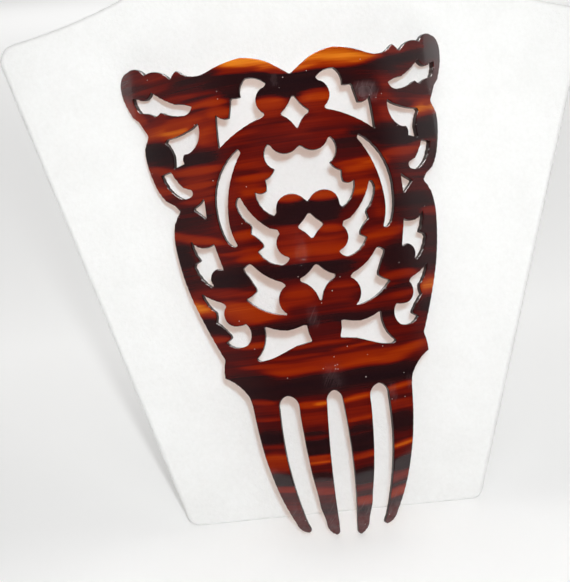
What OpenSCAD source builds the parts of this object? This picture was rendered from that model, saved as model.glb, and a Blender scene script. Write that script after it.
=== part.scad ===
/* [Comb] */
// Thickness of the sheet that the comb is cut from
sheet_t = 2.2; // [1.5:0.1:3]
// Radius of the bend across the comb, on its outer face
bend_r = 81; // [75:1:110]
// Radius of the backward curl of the teeth, along the middle line
curl_r = 108; // [95:1:200]
// Height above the tooth tips, along the sheet, where the curl begins
curl_from = 63; // [58:1:70]
// How much longer the two right teeth were cut than the two left ones
right_longer = 1.5; // [0:0.1:2]

/* [Pose on the bust] */
// How far the comb and the bust lean back from upright, in degrees
lean = 20; // [10:1:30]
// How far the comb has tipped to its own right on the bust, in degrees
tip_over = 3; // [-5:1:5]
// How far the foot of the comb stands to the right of the bust's middle, as seen in front
comb_aside = 2.5; // [-10:0.5:10]
// Clearance between the wings of the comb and the bust, and between leg and bust
gap = 0.3; // [0.1:0.1:1]

/* [Neck bust] */
// Thickness of the bust's board with its cloth
board_t = 6; // [4:0.5:12]
// Half width of the bust at its foot
foot_half = 59; // [50:1:80]
// Half width of the bust at its shoulders
shoulder_half = 121; // [110:1:140]
// Height of the shoulder corners along the board
shoulder_h = 197; // [190:1:210]
// Half width of the neck at its top
neck_half = 46; // [35:1:55]
// Height of the neck's top corners along the board
neck_h = 263; // [250:1:300]

/* [Easel leg] */
// Width of the leg at its foot
leg_w = 70; // [40:1:90]
// Thickness of the leg
leg_t = 3; // [2:0.5:6]
// Height along the board where the leg leaves its back
leg_from = 180; // [150:1:190]
// Angle between the leg and the board, in degrees
leg_swing = 38; // [30:1:45]

/* [Hidden] */
$fn = 240;

// The comb is drawn flat and then bent. Every table below has these columns:
// across, up, bow: millimetres from the middle line, millimetres above the level of the
// tooth tips, and how far the arc to the next point swells, outwards positive.
// The points run counterclockwise, so the solid of an outline is on the left hand,
// and so is the air of an opening.

// Right half of the edge, from the top of the middle gap round to the notch at the crown
EDGE = [
    // middle gap and inner tooth
    [0, 62, -0.9],
    [3, 58, -0.1],
    [4, 40, -0.3],
    [3.5, 8, 0],
    [3.5, 3, 0.3],
    [5, 1.5, 0.5],
    [8, 5.5, 0],
    [10, 15.5, 0],
    [12, 31, 0.2],
    [13.5, 54, 0],
    // side gap and outer tooth
    [13.5, 57, -1.3],
    [17.5, 62, -1.3],
    [21, 57, -0.3],
    [20.5, 36.5, -0.5],
    [15.5, 8, 0],
    [14.5, 5, 0.3],
    [15.5, 3.5, 0.2],
    [18, 4.5, 0.3],
    [20, 8, 0.2],
    [25, 21.5, 0.2],
    [29, 38.5, 0.2],
    [31, 57, -0.2],
    // root of the teeth
    [32, 63, -1],
    [41, 71, 0.4],
    // side, up to the first nick
    [40, 78, 0.3],
    [50.5, 101, 0.7],
    [55.5, 122, 0.6],
    [54.5, 132, 0.2],
    // middle lobe, up to the second nick
    [51, 136.5, 0],
    [57.5, 141.5, 0.5],
    [62.5, 149.5, 0.3],
    [65, 158, 0.3],
    [65, 163.5, 0.1],
    [62.5, 167, -0.3],
    // wing
    [62.5, 168.5, 0],
    [70, 177, 0.2],
    [74.5, 184.5, 0.1],
    [75.5, 189, 1.9],
    [70, 195, 1.7],
    [60, 191.5, 1.7],
    [48, 187.5, 0],
    [47, 187, 0.3],
    [44, 189.5, -0.2],
    [40, 186.5, -0.2],
    // crown
    [35, 185.5, -0.2],
    [29, 187, 0.3],
    [18, 189, 0.5],
    [8, 186, 0.1],
    [1, 181, 0],
    [0, 180.5, 0],
];

// Openings that lie on the middle line: right halves, from their foot to their head
TOP_DIAMOND = [
    [0, 160, 0],
    [0.5, 160.5, -0.5],
    [5, 165.5, 0.3],
    [5, 166.5, -0.4],
    [0.5, 172, 0],
    [0, 172, 0],
];
HEART_WINDOW = [
    [0, 132.5, -0.1],
    [1, 133.5, -2.5],
    [11, 134, -0.3],
    [12, 130, 0.1],
    [13, 129, 1.7],
    [19, 138.5, -0.9],
    [14.5, 138.5, -0.2],
    [14.5, 142.5, -0.6],
    [10.5, 146, 2.5],
    [12, 155.5, 0],
    [11, 155, -2.8],
    [1, 153, 0],
    [0, 153.5, 0],
];
MIDDLE_DIAMOND = [
    [0, 119, 0],
    [0.5, 119, -0.3],
    [4.5, 123, 0.2],
    [4.5, 124, -0.2],
    [0.5, 128, 0],
    [0, 128, 0],
];
TAILED_DIAMOND = [
    [0, 95.5, 0],
    [0.5, 96, -1.2],
    [6.5, 103.5, 0.2],
    [6.5, 104.5, -0.5],
    [1, 108.5, 0],
    [0, 109, 0],
];

// Openings that come in pairs: the right hand one of each
WING_SLOT = [
    [39.5, 174.5, 0.8],
    [43.5, 172, 0.7],
    [54, 175.5, 0.3],
    [57, 174.5, -0.5],
    [65, 177.5, 0.6],
    [68.5, 184, 0],
    [65, 183, -1.7],
    [57.5, 184, -0.4],
    [47, 177, 0.4],
];
CROWN_SCROLL = [
    [30.5, 157, 0.1],
    [30.5, 163, 0.1],
    [30, 169.5, -0.9],
    [25, 167.5, 0],
    [23.5, 174, 0],
    [23, 174.5, -0.2],
    [19.5, 174.5, 1],
    [17, 181, 1],
    [9.5, 178, 0.4],
    [11.5, 176.5, -2.6],
    [11.5, 167, 0.2],
    [12, 166, -1],
];
SIDE_LEAF = [
    [38, 168, 0.4],
    [38, 163, 1],
    [43.5, 157.5, 0],
    [45.5, 157.5, -0.6],
    [46, 154, 0],
    [51, 153, 0],
    [50.5, 157.5, -0.4],
    [53.5, 163.5, 0.2],
    [52.5, 164.5, -0.3],
    [44, 165.5, -0.4],
];
SIDE_SLOT = [
    [53, 152, -0.4],
    [48, 145, 0],
    [44.5, 143.5, 0.9],
    [45.5, 141, 0.3],
    [49, 141, 1.5],
    [58, 151.5, 0.1],
];
SIDE_SPUR = [
    [39.5, 131.5, 0],
    [44.5, 136, 0],
    [44.5, 136.5, -0.3],
    [39.5, 139.5, 0],
];
CRESCENT = [
    [29.5, 119.5, 0.5],
    [33, 123, 0.5],
    [35, 133, 3.7],
    [23.5, 155.5, 0.2],
    [22.5, 154, -1.7],
    [30.5, 132, -0.8],
    [28.5, 120, 0.1],
];
HEART_LEAF = [
    [25, 137.5, -1.2],
    [15.5, 124.5, 0],
    [12.5, 123.5, 0],
    [12, 122, -2.6],
    [10, 113, 0],
    [9.5, 112.5, 0.7],
    [13, 110.5, 1.1],
    [21, 116.5, 0],
    [18.5, 118, 0],
    [18.5, 119, -0.3],
    [22.5, 123.5, 0],
    [22.5, 124.5, 0],
    [22, 126, 0],
    [22.5, 127, 0.9],
    [27, 135, 0.2],
    [26, 137.5, 0],
];
LOWER_LEAF = [
    [38, 122, 0],
    [35.5, 112, 0],
    [35.5, 111.5, 0],
    [38, 112.5, -1.9],
    [40.5, 106.5, 0],
    [41.5, 106, 0.9],
    [48, 114.5, 0],
    [47.5, 115.5, 0],
    [45, 116.5, 0.7],
    [48, 124.5, -2.2],
];
FANG = [
    [25, 112.5, 0],
    [24, 112, -1],
    [13.5, 104, 0],
    [12.5, 103, 0],
    [12.5, 102.5, -2.9],
    [13, 92, 0],
    [14, 92, 1.4],
    [28, 99.5, -0.3],
    [23.5, 102, 0],
    [23.5, 103, -0.1],
    [27, 109.5, 0.1],
    [27.5, 111, 0.2],
];
FOOT_LEAF = [
    [46.5, 104, -0.4],
    [38, 99.5, 0.2],
    [36.5, 98, -2.9],
    [33, 90, -0.2],
    [29.5, 90.5, 0.2],
    [28, 88, 0.9],
    [30, 82.5, 1.4],
    [38.5, 84.5, 0],
    [36, 86, 0],
    [36, 86.5, -0.3],
    [41.5, 92.5, 0],
    [41, 94.5, 0],
    [41, 96, 0.7],
];
FOOT_WEDGE = [
    [6.5, 87, -0.3],
    [5.5, 81.5, 0],
    [5.5, 81, 0],
    [11.5, 80, 0],
    [18, 77.5, 0.3],
    [24.5, 76, 0.4],
    [27, 77, -0.9],
    [22.5, 85, -0.1],
    [22.5, 88, 0],
    [22, 88.5, -0.4],
    [14, 86, -0.2],
    [8.5, 87, 0.2],
];
MIDDLE_OPENINGS = [TOP_DIAMOND, HEART_WINDOW, MIDDLE_DIAMOND, TAILED_DIAMOND];
PAIRED_OPENINGS = [
    WING_SLOT, CROWN_SCROLL, SIDE_LEAF, SIDE_SLOT, SIDE_SPUR, CRESCENT,
    HEART_LEAF, LOWER_LEAF, FANG, FOOT_LEAF, FOOT_WEDGE,
];

// Right half of the bust: foot corner, side, shoulder, neck and its domed top.
// Columns: across, up along the board, bow.
BUST_EDGE = [
    [0, 0, 0],
    [foot_half - 3, 0, 1.2],
    [foot_half + 1.5, 5, 0],
    [shoulder_half - 1.5, shoulder_h - 6, 1.5],
    [shoulder_half - 6, shoulder_h + 2, -1.5],
    [neck_half + 20, shoulder_h + 19, -4],
    [neck_half + 1, neck_h - 22, 0],
    [neck_half, neck_h - 4, 1.2],
    [neck_half - 5, neck_h + 1, 2],
    [0, neck_h + 9, 0],
];

// Longest straight stretch of a drawn arc, and widest angle that one stretch spans
ARC_STEP = 3;
ARC_TURN = 16;
// Height above the tooth tips from which the longer teeth stretch downwards
STRETCH_FROM = 40;
// Height of the upright bent sheet, past the crown, and sweep of the curl, past the tips
SHEET_HEIGHT = 140;
CURL_SWEEP = 40;
// Share of the bend radius outside which the curled strip lies
STRIP_FROM = 0.85;
// How far a cutting solid reaches past what it cuts
PAST = 1;
// How far the cutting block stands out before the comb and how deep it reaches
BLOCK_FRONT = 4;
BLOCK_DEPTH = 40;
// Edge length of the blocks that trim the bust and its leg
TRIM = 400;

// Points of the arc from row p towards row q, without its last point
function arc(p, q) =
    let (dx = q[0] - p[0])
    let (dy = q[1] - p[1])
    let (chord = norm([dx, dy]))
    let (bow = p[2])
    abs(bow) < 0.05 ? [[p[0], p[1]]] :
    let (r = (chord * chord / 4 + bow * bow) / (2 * bow))
    let (half_turn = asin(chord / 2 / abs(r)))
    let (length = abs(r) * half_turn * PI / 90)
    let (steps = ceil(max(length / ARC_STEP, 2 * half_turn / ARC_TURN)))
    let (out = [dy, -dx] / chord)
    let (along = [dx, dy] / chord)
    let (centre = [p[0] + dx / 2, p[1] + dy / 2] + out * (bow - r))
    [
        for (i = [0 : steps - 1])
            let (a = half_turn * (2 * i / steps - 1))
            centre + out * r * cos(a) + along * abs(r) * sin(a)
    ];

// Points of a table from its first row to its last
function trace(rows) =
    [
        for (i = [0 : len(rows) - 2])
            each arc(rows[i], rows[i + 1]),
        [rows[len(rows) - 1][0], rows[len(rows) - 1][1]]
    ];
function closed(rows) = trace(concat(rows, [rows[0]]));
function mirrored(points) = [for (p = points) [-p[0], p[1]]];
function reversed(points) = [for (i = [len(points) - 1 : -1 : 0]) points[i]];
function both_halves(rows) =
    let (right = trace(rows))
    concat(right, reversed(mirrored(right)));
function stretched(rows) =
    [
        for (r = rows)
            [r[0], r[1] - right_longer * max(0, 1 - r[1] / STRETCH_FROM), r[2]]
    ];

// Place on the bent sheet, depth mm inside its outer face, of the flat point p.
// Above curl_from the middle line is straight, and below it is an arc that leans back.
function bent(p, depth) =
    let (curl = max(0, curl_from - p[1]) / curl_r * 180 / PI)
    let (turn = p[0] / bend_r * 180 / PI)
    let (line_y = curl_r * (1 - cos(curl)))
    let (line_z = max(p[1], curl_from) - curl_r * sin(curl))
    let (sink = bend_r - (bend_r - depth) * cos(turn))
    [(bend_r - depth) * sin(turn), line_y + sink * cos(curl), line_z + sink * sin(curl)];

// The same place seen from the axis of the bend, on the plane that touches the comb in front
function seen(p) =
    let (b = bent(p, 0))
    [b[0] * bend_r / (bend_r - b[1]), b[2]];
function seen_all(points) = [for (p = points) seen(p)];

// A place on the upright bust, given as [across, back, up], after the lean
function leant(p) =
    [p[0], p[1] * cos(lean) + p[2] * sin(lean), p[2] * cos(lean) - p[1] * sin(lean)];

// A place on the comb after it has tipped over, stepped aside and leant back
function posed(p) =
    leant([
        p[0] * cos(tip_over) - p[2] * sin(tip_over) + comb_aside,
        p[1],
        p[0] * sin(tip_over) + p[2] * cos(tip_over)
    ]);

// Back rim of a cut edge: the cut runs level from the front rim towards the axis of the bend
function back_rim(p) =
    let (curl = max(0, curl_from - p[1]) / curl_r * 180 / PI)
    let (turn = p[0] / bend_r * 180 / PI)
    bent(p, 0) + [-sheet_t * sin(turn), sheet_t * cos(turn) / cos(curl), 0];

comb_edge = concat(trace(stretched(EDGE)), reversed(mirrored(trace(EDGE))));
front_rims = [for (p = comb_edge) posed(bent(p, 0))];
back_rims = [for (p = comb_edge) posed(back_rim(p))];
// Level of the lowest tooth tip, which stands on z = 0 after the comb is raised by it
comb_low = min([for (p = concat(front_rims, back_rims)) p[2]]);
comb_front = min([for (p = front_rims) p[1]]);
// The board's front face lies just behind the wing tips
board_front = max([for (p = comb_edge) back_rim(p)[1]]) + gap;
// Level along the board at which its front face meets z = 0
board_low = (board_front * sin(lean) + comb_low) / cos(lean);
// The leg leans forward to the board's back, and its heel is the part's rearmost point
leg_lean = leg_swing - lean;
leg_hinge = leant([0, board_front + board_t + gap, board_low + leg_from]);
leg_top = leg_hinge + [0, leg_t * cos(leg_lean), leg_t * sin(leg_lean) - comb_low];
heel_y = leg_top[1] + leg_top[2] * tan(leg_lean);
// The origin is midway between the comb's front and the leg's heel
mid_y = (comb_front + heel_y) / 2;

module on_the_bust() {
    translate([0, -mid_y, -comb_low]) rotate([-lean, 0, 0]) children();
}

// Upright sheet bent round a vertical axis, and the curl that carries it on below
module bent_sheet() {
    translate([0, bend_r, curl_from]) difference() {
        cylinder(r = bend_r, h = SHEET_HEIGHT);
        translate([0, 0, -PAST]) cylinder(r = bend_r - sheet_t, h = SHEET_HEIGHT + 2 * PAST);
    }
    translate([0, curl_r, curl_from])
        rotate([-90, 0, 0])
            rotate([0, 90, 0])
                rotate_extrude(angle = CURL_SWEEP)
                    translate([curl_r - bend_r, 0])
                        intersection() {
                            difference() {
                                circle(r = bend_r);
                                circle(r = bend_r - sheet_t);
                            }
                            translate([bend_r * STRIP_FROM, -bend_r / 2]) square(bend_r);
                        }
}

// The flat drawing, carried out to the touching plane
module pattern() {
    difference() {
        polygon(seen_all(comb_edge));
        for (rows = MIDDLE_OPENINGS) polygon(seen_all(both_halves(rows)));
        for (rows = PAIRED_OPENINGS) {
            polygon(seen_all(closed(rows)));
            polygon(seen_all(mirrored(closed(rows))));
        }
    }
}

// Block with the pattern cut square through the sheet: its sides all point to the axis
module cut_block() {
    back = (bend_r - BLOCK_DEPTH) / bend_r;
    front = (bend_r + BLOCK_FRONT) / bend_r;
    translate([0, BLOCK_DEPTH, 0])
        rotate([90, 0, 0])
            linear_extrude(height = BLOCK_DEPTH + BLOCK_FRONT, scale = [front / back, 1], slices = 1, $fn = 0)
                scale([back, 1]) pattern();
}

module comb() {
    color([0.42, 0.13, 0.05])
        on_the_bust()
            translate([comb_aside, 0, 0])
                rotate([0, -tip_over, 0])
                    intersection() {
                        bent_sheet();
                        cut_block();
                    }
}

module neck_bust() {
    color([0.94, 0.94, 0.93])
        difference() {
            on_the_bust()
                translate([0, board_front + board_t, board_low])
                    rotate([90, 0, 0])
                        linear_extrude(height = board_t) polygon(both_halves(BUST_EDGE));
            translate([-TRIM / 2, -TRIM / 2, -TRIM]) cube(TRIM);
        }
}

module easel_leg() {
    color([0.9, 0.9, 0.89])
        difference() {
            on_the_bust()
                translate([0, board_front + board_t + gap, board_low + leg_from])
                    rotate([leg_swing, 0, 0])
                        translate([-leg_w / 2, 0, -TRIM])
                            cube([leg_w, leg_t, TRIM]);
            translate([-TRIM / 2, -TRIM / 2, -TRIM]) cube(TRIM);
        }
}

comb();
neck_bust();
easel_leg();
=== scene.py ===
import math

import bmesh
import bpy
import numpy as np
from mathutils import Matrix, Vector
from mathutils.geometry import delaunay_2d_cdt


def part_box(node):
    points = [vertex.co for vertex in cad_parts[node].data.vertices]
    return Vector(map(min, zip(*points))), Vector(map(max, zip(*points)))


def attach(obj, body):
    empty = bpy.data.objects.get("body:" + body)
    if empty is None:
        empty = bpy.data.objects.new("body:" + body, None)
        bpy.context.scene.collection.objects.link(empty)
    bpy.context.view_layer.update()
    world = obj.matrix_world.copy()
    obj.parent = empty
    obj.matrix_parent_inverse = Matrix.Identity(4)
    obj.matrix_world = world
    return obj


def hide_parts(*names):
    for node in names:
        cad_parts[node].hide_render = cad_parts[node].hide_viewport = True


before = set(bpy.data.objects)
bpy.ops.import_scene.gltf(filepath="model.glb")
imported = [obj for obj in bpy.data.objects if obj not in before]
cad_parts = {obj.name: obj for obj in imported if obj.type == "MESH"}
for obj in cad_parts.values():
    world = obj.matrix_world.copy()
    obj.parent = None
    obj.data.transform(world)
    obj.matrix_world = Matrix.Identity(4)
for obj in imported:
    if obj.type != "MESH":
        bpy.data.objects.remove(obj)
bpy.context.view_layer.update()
mm = 0.001
print("frame loaded:", ", ".join(sorted(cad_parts)))

# The camera was fitted to the photograph. Places are millimetres.
photoCamera = {
    "stands": (-36.85, -401.15, 219.14),
    "looksAt": (-15.52, -52.56, 96.96),
    "roll": 3.73,      # degrees, clockwise
    "lens": 61.856,
    "sensor": 36,
}


def placeCamera(setup):
    stands = Vector(setup["stands"]) * mm
    ahead = (Vector(setup["looksAt"]) * mm - stands).normalized()
    levelRight = ahead.cross(Vector((0, 0, 1))).normalized()
    levelUp = levelRight.cross(ahead)
    roll = math.radians(setup["roll"])
    up = levelUp * math.cos(roll) + levelRight * math.sin(roll)
    right = ahead.cross(up)
    data = bpy.data.cameras.new("photoCamera")
    data.lens = setup["lens"]
    data.sensor_width = setup["sensor"]
    camera = bpy.data.objects.new("photoCamera", data)
    turned = Matrix((right, up, -ahead)).transposed().to_4x4()
    camera.matrix_world = Matrix.Translation(stands) @ turned
    bpy.context.scene.collection.objects.link(camera)
    bpy.context.scene.camera = camera
    return camera


camera = placeCamera(photoCamera)

# The key is a small lamp just above the lens, and the face lamp a large soft one above and
# ahead of it. The far lamp lights the table behind. None of the three is mirrored. The
# glint strip overhead is only mirrored, and lights nothing. Lengths are millimetres.
lamps = {
    "key": {"at": (15, 37, 0), "byLens": True, "size": 26, "watts": 1.33, "mirrored": False,
            "aim": (90, -10, 240), "tint": (0.975, 0.99, 1.0)},
    "face": {"at": (0, 150, -90), "byLens": True, "size": 240, "watts": 0.20, "mirrored": False,
             "aim": (20, -10, 170), "tint": (1.0, 0.99, 0.975)},
    "far": {"at": (0, 3600, 2200), "byLens": False, "size": 2600, "watts": 27.0,
            "mirrored": False, "aim": (0, 3000, 0), "tint": (0.98, 0.99, 1.0)},
    "glint": {"at": (0, 60, 900), "byLens": False, "size": 900, "watts": 28.0, "depth": 160,
              "mirrored": True, "aim": (0, -30, 120), "tint": (1.0, 0.99, 0.97)},
}


def placeLamp(name, row):
    data = bpy.data.lights.new(name, "AREA")
    data.shape = "DISK"
    data.size = row["size"] * mm
    if "depth" in row:
        data.shape = "RECTANGLE"
        data.size_y = row["depth"] * mm
    data.energy = row["watts"]
    data.color = row["tint"]
    lamp = bpy.data.objects.new(name, data)
    at = Vector(row["at"]) * mm
    if row["byLens"]:
        at = camera.matrix_world @ at
    lamp.location = at
    lamp.rotation_euler = (Vector(row["aim"]) * mm - at).to_track_quat("-Z", "Y").to_euler()
    lamp.visible_glossy = row["mirrored"]
    lamp.visible_diffuse = not row["mirrored"]
    bpy.context.scene.collection.objects.link(lamp)


for lampName, lampRow in lamps.items():
    placeLamp(lampName + "Lamp", lampRow)
bpy.context.scene.view_settings.view_transform = "Standard"


# Node helpers: a value is a number, a colour or another node's socket
def plug(tree, socket, value):
    if isinstance(value, bpy.types.NodeSocket):
        tree.links.new(value, socket)
    else:
        socket.default_value = value


def fill(tree, node, inputs):
    for name, value in inputs.items():
        plug(tree, node.inputs[name], value)


def put(tree, kind, inputs=None, out=0, **settings):
    node = tree.nodes.new(kind)
    for name, value in settings.items():
        setattr(node, name, value)
    fill(tree, node, inputs or {})
    return node.outputs[out]


def calc(tree, operation, *values):
    node = tree.nodes.new("ShaderNodeMath")
    node.operation = operation
    for socket, value in zip(node.inputs, values):
        plug(tree, socket, value)
    return node.outputs[0]


def axes(tree, vector):
    node = tree.nodes.new("ShaderNodeSeparateXYZ")
    tree.links.new(vector, node.inputs[0])
    return node.outputs


def scaled(tree, vector, factors):
    return put(tree, "ShaderNodeVectorMath", {0: vector, 1: factors}, operation="MULTIPLY")


def noise(tree, vector, scale, detail, roughness):
    return put(tree, "ShaderNodeTexNoise", {
        "Vector": vector, "Scale": scale, "Detail": detail, "Roughness": roughness})


# A mix node has its sockets once per kind of value. These are the ones for colours.
mixInputs, mixOutput = (0, 6, 7), 2


def blend(tree, amount, first, second):
    node = tree.nodes.new("ShaderNodeMix")
    node.data_type = "RGBA"
    for number, value in zip(mixInputs, (amount, first, second)):
        plug(tree, node.inputs[number], value)
    return node.outputs[mixOutput]


def ramp(tree, amount, stops):
    node = tree.nodes.new("ShaderNodeValToRGB")
    plug(tree, node.inputs[0], amount)
    elements = node.color_ramp.elements
    while len(elements) < len(stops):
        elements.new(0.5)
    for element, (place, colour) in zip(elements, stops):
        element.position = place
        element.color = (*colour, 1.0)
    return node.outputs[0]


zeroToOne = (0.0, 1.0)


# A span of the value becomes toLow to toHigh, and it stays at those beyond
def remap(tree, value, span, toLow, toHigh, smooth=False):
    return put(tree, "ShaderNodeMapRange", {
        "Value": value, "From Min": span[0], "From Max": span[1],
        "To Min": toLow, "To Max": toHigh},
        interpolation_type="SMOOTHSTEP" if smooth else "LINEAR")


def weighted(tree, first, firstShare, second, secondShare):
    return calc(tree, "ADD", calc(tree, "MULTIPLY", first, firstShare),
                calc(tree, "MULTIPLY", second, secondShare))


def newMaterial(name):
    material = bpy.data.materials.new(name)
    material.use_nodes = True
    tree = material.node_tree
    tree.nodes.clear()
    shader = tree.nodes.new("ShaderNodeBsdfPrincipled")
    output = tree.nodes.new("ShaderNodeOutputMaterial")
    tree.links.new(shader.outputs[0], output.inputs[0])
    return material, tree, shader, output


# The pale room, with a dark part in front of the comb that the comb's middle mirrors. It has
# one strength as a light, one in mirror images and one as the camera sees it. Spans
# are parts of a direction one long: to the right, back or up.
room = {
    "asLight": 0.50,
    "mirroredLeft": 0.30,
    "mirroredRight": 0.40,
    "sides": (-0.7, 0.7),
    "seen": 0.80,
    "dark": 0.012,
    "darkSkew": 0.176,
    "darkInFront": (0.0, -0.40),
    "darkBelow": (0.90, 0.74),
    "darkFromLeft": (-0.88, -0.45),
    "darkAtLeft": 0.35,
    "tint": (1.0, 0.985, 0.975, 1.0),
}


def paintRoom():
    world = bpy.data.worlds.new("paleRoom")
    bpy.context.scene.world = world
    world.use_nodes = True
    tree = world.node_tree
    tree.nodes.clear()
    across, deep, high = axes(tree, put(tree, "ShaderNodeTexCoord", out="Generated"))
    skewed = calc(tree, "MULTIPLY_ADD", across, room["darkSkew"], deep)
    inFront = remap(tree, skewed, room["darkInFront"], *zeroToOne, smooth=True)
    below = remap(tree, high, room["darkBelow"], *zeroToOne, smooth=True)
    fromLeft = remap(tree, across, room["darkFromLeft"], room["darkAtLeft"], 1.0, smooth=True)
    dark = calc(tree, "MULTIPLY", calc(tree, "MULTIPLY", inFront, below), fromLeft)
    mirrored = remap(tree, across, room["sides"], room["mirroredLeft"], room["mirroredRight"])
    glossy = put(tree, "ShaderNodeLightPath", out="Is Glossy Ray")
    pale = remap(tree, glossy, zeroToOne, room["asLight"], mirrored)
    bright = remap(tree, dark, zeroToOne, pale, room["dark"])
    seen = put(tree, "ShaderNodeLightPath", out="Is Camera Ray")
    bright = remap(tree, seen, zeroToOne, bright, room["seen"])
    background = put(tree, "ShaderNodeBackground", {"Color": room["tint"], "Strength": bright})
    output = tree.nodes.new("ShaderNodeOutputWorld")
    tree.links.new(background, output.inputs[0])


paintRoom()

# The table, in metres. It glows a little by itself, more behind the comb and far in front.
# Its front strip isn't mirrored, so that the teeth mirror the dark room.
tableTop = {
    "reach": 9.0,
    "frontEdge": -0.9,
    "mirroredFrom": -0.128,
    "colour": (0.87, 0.87, 0.865, 1.0),
    "roughness": 0.55,
    "specular": 0.2,
    "glowTint": (1.0, 1.0, 0.99, 1.0),
    "behind": (-0.04, 0.16),
    "glowNear": 0.11,
    "glowFar": 0.33,
    "inFront": (-0.22, -0.50),
    "glowFront": 0.22,
}


def paperMaterial():
    material, tree, shader, _ = newMaterial("whitePaper")
    _, deep, _ = axes(tree, put(tree, "ShaderNodeTexCoord", out="Object"))
    behind = remap(tree, deep, tableTop["behind"], tableTop["glowNear"], tableTop["glowFar"])
    inFront = remap(tree, deep, tableTop["inFront"], 0.0, tableTop["glowFront"])
    fill(tree, shader, {
        "Base Color": tableTop["colour"], "Roughness": tableTop["roughness"],
        "Specular IOR Level": tableTop["specular"], "Emission Color": tableTop["glowTint"],
        "Emission Strength": calc(tree, "ADD", behind, inFront)})
    return material


def layTable():
    reach, front, split = tableTop["reach"], tableTop["frontEdge"], tableTop["mirroredFrom"]
    material = paperMaterial()
    for name, low, high in (("whiteTable", split, reach), ("whiteTableFront", front, split)):
        mesh = bpy.data.meshes.new(name)
        corners = [(-reach, low, 0), (reach, low, 0), (reach, high, 0), (-reach, high, 0)]
        mesh.from_pydata(corners, [], [(0, 1, 2, 3)])
        mesh.materials.append(material)
        part = bpy.data.objects.new(name, mesh)
        bpy.context.scene.collection.objects.link(part)
        part.visible_glossy = low == split


layTable()
print("camera, lights and table ready")

# Every piece here is a sheet with rounded rims. Its outline is read off the front face of
# the CAD node, laid flat, and smoothed. Flat places are millimetres: across, depth, up.
weldWithin = 2e-6        # metres, and the next ones millimetres
onTheFace = 0.02
onTheRim = 1e-3          # wider than the triangulation's 32-bit rounding
mergeWithin = 1e-7
noLength = 1e-9
noArea = 1e-9
noSquare = 1e-12
leastStep = 1e-6
longestCut = 1.0
cutShare = 0.35          # of the run that a rounded corner cuts into
sharpestTurn = 2.6       # radians
ringShare = 0.96         # no rim is nearer to a ring's place than this share of its depth
rowClearance = 0.5       # rows between the last ring and the grid
placesAtOnce = 400


def flatOutlines(nodeName, layFlat):
    copy = bmesh.new()
    copy.from_mesh(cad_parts[nodeName].data)
    bmesh.ops.remove_doubles(copy, verts=copy.verts, dist=weldWithin)
    copy.verts.index_update()
    flat = layFlat(np.array([v.co[:] for v in copy.verts]) / mm)
    front = set(np.nonzero(np.abs(flat[:, 1]) < onTheFace)[0])
    paired = set()
    for face in copy.faces:
        ring = [v.index for v in face.verts]
        if all(i in front for i in ring):
            paired.update(zip(ring, ring[1:] + ring[:1]))
    copy.free()
    follow = {a: b for a, b in paired if (b, a) not in paired}
    loops = []
    while follow:
        start = min(follow)
        ring = [start]
        step = follow.pop(start)
        while step != start:
            ring.append(step)
            step = follow.pop(step)
        loops.append(flat[ring][:, (0, 2)])
    return loops


# Points closer than a hair are one point
def mergedPoints(points, hair):
    kept = [points[0]]
    for p in points[1:]:
        if np.hypot(*(p - kept[-1])) > hair:
            kept.append(p)
    if np.hypot(*(kept[0] - kept[-1])) < hair:
        kept.pop()
    return kept


# A long straight side gets a point near each end, so that it stays straight
def heldStraight(points, look):
    held = []
    for p, q in zip(points, points[1:] + points[:1]):
        held.append(p)
        length = np.hypot(*(q - p))
        if length > look["straight"]:
            step = (q - p) * look["nearEnd"] / length
            held += [p + step, q - step]
    return np.array(held)


# The smooth runs between the sharp corners of a loop, each with the turns at its two ends
def runsBetweenCorners(points, look):
    ahead = np.roll(points, -1, 0) - points
    angle = np.arctan2(ahead[:, 1], ahead[:, 0])
    turn = (angle - np.roll(angle, 1) + math.pi) % (2 * math.pi) - math.pi
    corners = [int(i) for i in np.nonzero(np.abs(turn) > math.radians(look["corner"]))[0]]
    if not corners:
        corners = [0]
        turn = turn * 0
    points = np.roll(points, -corners[0], 0)
    turn = np.roll(turn, -corners[0])
    corners = [c - corners[0] for c in corners] + [len(points)]
    points = np.vstack([points, points[:1]])
    turn = np.append(turn, turn[0])
    return [(softRun(points[a:b + 1], look), turn[a], turn[b])
            for a, b in zip(corners[:-1], corners[1:])]


def lengthsAlong(run):
    return np.concatenate([[0], np.cumsum(np.hypot(*np.diff(run, axis=0).T))])


def placesOn(run, along, lengths):
    return np.stack([np.interp(lengths, along, run[:, k]) for k in (0, 1)], 1)


# How far the rounding of a corner reaches into a run of this length
def cornerCut(turn, length, look):
    reach = look["fillet"] * math.tan(min(abs(turn), sharpestTurn) / 2)
    return min(reach, length * cutShare, longestCut)


def smoothedLoop(points, look):
    points = heldStraight(mergedPoints(points, look["merge"]), look)
    runs = runsBetweenCorners(points, look)
    out = []
    for number, (run, turnIn, turnOut) in enumerate(runs):
        along = lengthsAlong(run)
        cutIn = cornerCut(turnIn, along[-1], look)
        cutOut = cornerCut(turnOut, along[-1], look)
        count = max(1, math.ceil((along[-1] - cutIn - cutOut) / look["spacing"]))
        samples = placesOn(run, along, np.linspace(cutIn, along[-1] - cutOut, count + 1))
        if cutOut <= leastStep:
            out.extend(samples[:-1])
            continue
        out.extend(samples)
        nextRun, nextTurn, _ = runs[(number + 1) % len(runs)]
        nextAlong = lengthsAlong(nextRun)
        nextCut = cornerCut(nextTurn, nextAlong[-1], look)
        before, tip, after = samples[-1], run[-1], placesOn(nextRun, nextAlong, [nextCut])[0]
        for t in look["filletSteps"]:
            out.append(before * (1 - t) ** 2 + tip * 2 * t * (1 - t) + after * t * t)
    return np.array(out)


def between(t, low, high, first, second):
    return (high - t) / (high - low) * first + (t - low) / (high - low) * second


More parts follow.
